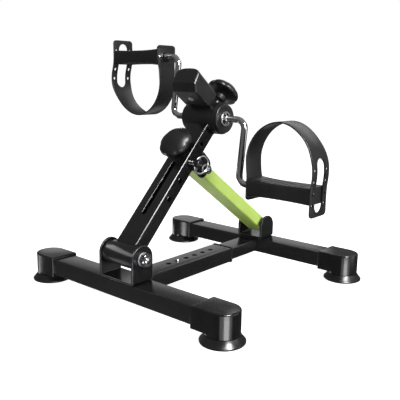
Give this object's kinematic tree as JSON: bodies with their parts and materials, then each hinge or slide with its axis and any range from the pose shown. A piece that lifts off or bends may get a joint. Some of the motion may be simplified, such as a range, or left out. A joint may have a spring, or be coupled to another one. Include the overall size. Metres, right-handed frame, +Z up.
{
  "type": "pedal exerciser",
  "caption": "Floor-standing pedal exerciser: telescoping H-shaped base, propped column, bent chrome crank and two strapped pedals with friction and clamp knobs.",
  "frame": {"origin": "on the floor, at the centre of the rectangle of the four feet", "axes": "+X along the crank towards the lock-pin side, +Y from the foot of the column towards the prop, +Z up"},
  "size_m": [0.4321, 0.3836, 0.3881],
  "materials": {
    "front_cross_tube": "black satin powder coat",
    "outer_rail": "black satin powder coat",
    "rail_end_collar": "moulded black plastic",
    "foot_cap_front_left": "moulded black plastic",
    "foot_cap_front_right": "moulded black plastic",
    "foot_pad_front_left": "moulded rubber",
    "foot_pad_front_right": "moulded rubber",
    "front_bracket": "black satin powder coat",
    "pivot_bolt": "bright zinc plate",
    "pivot_nut": "bright zinc plate",
    "pivot_washer_left": "bright zinc plate",
    "pivot_washer_right": "bright zinc plate",
    "inner_rail": "black satin powder coat",
    "rear_cross_tube": "black satin powder coat",
    "foot_cap_rear_left": "moulded black plastic",
    "foot_cap_rear_right": "moulded black plastic",
    "foot_pad_rear_left": "moulded rubber",
    "foot_pad_rear_right": "moulded rubber",
    "rear_bracket": "black satin powder coat",
    "rear_pivot_pin": "bright zinc plate",
    "snap_button_spring": "bright zinc plate",
    "column_tube": "black satin powder coat",
    "pivot_barrel": "black satin powder coat",
    "head_drum": "black satin powder coat",
    "console_cover": "moulded black plastic",
    "console_bracket": "black satin powder coat",
    "console_plug": "light grey plastic",
    "tension_boss": "black satin powder coat",
    "bearing_cup_left": "moulded black plastic",
    "bearing_cup_right": "moulded black plastic",
    "brake_pad": "pressed felt",
    "carriage_block": "moulded black plastic",
    "strut_bracket": "black satin powder coat",
    "strut_bolt": "bright zinc plate",
    "strut_nut": "bright zinc plate",
    "strut_washer_left": "bright zinc plate",
    "strut_washer_right": "bright zinc plate",
    "strut_tube": "lime green satin powder coat",
    "strut_bush": "black satin powder coat",
    "crank_rod": "polished chrome plate",
    "snap_ring_left": "polished chrome plate",
    "snap_ring_right": "polished chrome plate",
    "pedal_block_left": "textured moulded plastic",
    "pedal_strap_left": "textured moulded plastic",
    "strap_rivet_left_front": "bright zinc plate",
    "strap_rivet_left_rear": "bright zinc plate",
    "pedal_block_right": "textured moulded plastic",
    "pedal_strap_right": "textured moulded plastic",
    "strap_rivet_right_front": "bright zinc plate",
    "strap_rivet_right_rear": "bright zinc plate",
    "lock_pin_shaft": "polished chrome plate",
    "lock_pin_collar": "moulded black plastic",
    "lock_pin_ring": "polished chrome plate",
    "clamp_knob": "glossy moulded plastic",
    "clamp_stud": "bright zinc plate",
    "tension_knob": "glossy moulded plastic",
    "tension_screw": "polished chrome plate"
  },
  "bodies": {
    "base_front": {"front_cross_tube": "front_cross_tube", "outer_rail": "outer_rail", "rail_end_collar": "rail_end_collar", "foot_cap_front_left": "foot_cap_front_left", "foot_cap_front_right": "foot_cap_front_right", "foot_pad_front_left": "foot_pad_front_left", "foot_pad_front_right": "foot_pad_front_right", "front_bracket": "front_bracket", "pivot_bolt": "pivot_bolt", "pivot_nut": "pivot_nut", "pivot_washer_left": "pivot_washer_left", "pivot_washer_right": "pivot_washer_right"},
    "base_rear": {"inner_rail": "inner_rail", "rear_cross_tube": "rear_cross_tube", "foot_cap_rear_left": "foot_cap_rear_left", "foot_cap_rear_right": "foot_cap_rear_right", "foot_pad_rear_left": "foot_pad_rear_left", "foot_pad_rear_right": "foot_pad_rear_right", "rear_bracket": "rear_bracket", "rear_pivot_pin": "rear_pivot_pin", "snap_button_spring": "snap_button_spring"},
    "column": {"column_tube": "column_tube", "pivot_barrel": "pivot_barrel", "head_drum": "head_drum", "console_cover": "console_cover", "console_bracket": "console_bracket", "console_plug": "console_plug", "tension_boss": "tension_boss", "bearing_cup_left": "bearing_cup_left", "bearing_cup_right": "bearing_cup_right", "brake_pad": "brake_pad", "carriage_block": "carriage_block", "strut_bracket": "strut_bracket", "strut_bolt": "strut_bolt", "strut_nut": "strut_nut", "strut_washer_left": "strut_washer_left", "strut_washer_right": "strut_washer_right"},
    "strut": {"strut_tube": "strut_tube", "strut_bush": "strut_bush"},
    "crank": {"crank_rod": "crank_rod", "snap_ring_left": "snap_ring_left", "snap_ring_right": "snap_ring_right"},
    "pedal_left": {"pedal_block_left": "pedal_block_left", "pedal_strap_left": "pedal_strap_left", "strap_rivet_left_front": "strap_rivet_left_front", "strap_rivet_left_rear": "strap_rivet_left_rear"},
    "pedal_right": {"pedal_block_right": "pedal_block_right", "pedal_strap_right": "pedal_strap_right", "strap_rivet_right_front": "strap_rivet_right_front", "strap_rivet_right_rear": "strap_rivet_right_rear"},
    "lock_pin": {"lock_pin_shaft": "lock_pin_shaft", "lock_pin_collar": "lock_pin_collar", "lock_pin_ring": "lock_pin_ring"},
    "clamp_knob": {"clamp_knob": "clamp_knob", "clamp_stud": "clamp_stud"},
    "tension_knob": {"tension_knob": "tension_knob", "tension_screw": "tension_screw"}
  },
  "joints": [
    {"name": "base_length", "type": "slide", "parent": "base_front", "child": "base_rear", "axis": [0, 1, 0], "range_m": [-0.0205, 0.0205], "deforming": ["snap_button_spring"]},
    {"name": "column_fold", "type": "hinge", "parent": "base_front", "child": "column", "pos_m": [0, -0.1615, 0.0768], "axis": [1, 0, 0], "range_deg": [-5.55, 5.55]},
    {"name": "strut_fold", "type": "hinge", "parent": "base_rear", "child": "strut", "pos_m": [0, 0.1615, 0.0645], "axis": [1, 0, 0], "range_deg": [-4.8, 4.8]},
    {"name": "crank_spin", "type": "hinge", "parent": "column", "child": "crank", "pos_m": [0, 0.01721, 0.26316], "axis": [1, 0, 0], "continuous": true},
    {"name": "pedal_left_spin", "type": "hinge", "parent": "crank", "child": "pedal_left", "pos_m": [-0.1575, 0.03041, 0.35825], "axis": [1, 0, 0], "continuous": true},
    {"name": "pedal_right_spin", "type": "hinge", "parent": "crank", "child": "pedal_right", "pos_m": [0.1575, 0.00402, 0.16807], "axis": [1, 0, 0], "continuous": true},
    {"name": "lock_pin_pull", "type": "slide", "parent": "column", "child": "lock_pin", "axis": [1, 0, 0], "range_m": [0, 0.028]},
    {"name": "clamp_knob_turn", "type": "hinge", "parent": "column", "child": "clamp_knob", "pos_m": [0, -0.04405, 0.21661], "axis": [0, -0.7218, 0.6921], "range_deg": [0, 360]},
    {"name": "tension_knob_turn", "type": "hinge", "parent": "column", "child": "tension_knob", "pos_m": [0, 0.04199, 0.289], "axis": [0, 0.6921, 0.7218], "range_deg": [-360, 360]}
  ],
  "couplings": [
    {"joint": "column_fold", "follows": "base_length", "rad_per_m": -4.6836},
    {"joint": "strut_fold", "follows": "base_length", "rad_per_m": 4.0401}
  ]
}
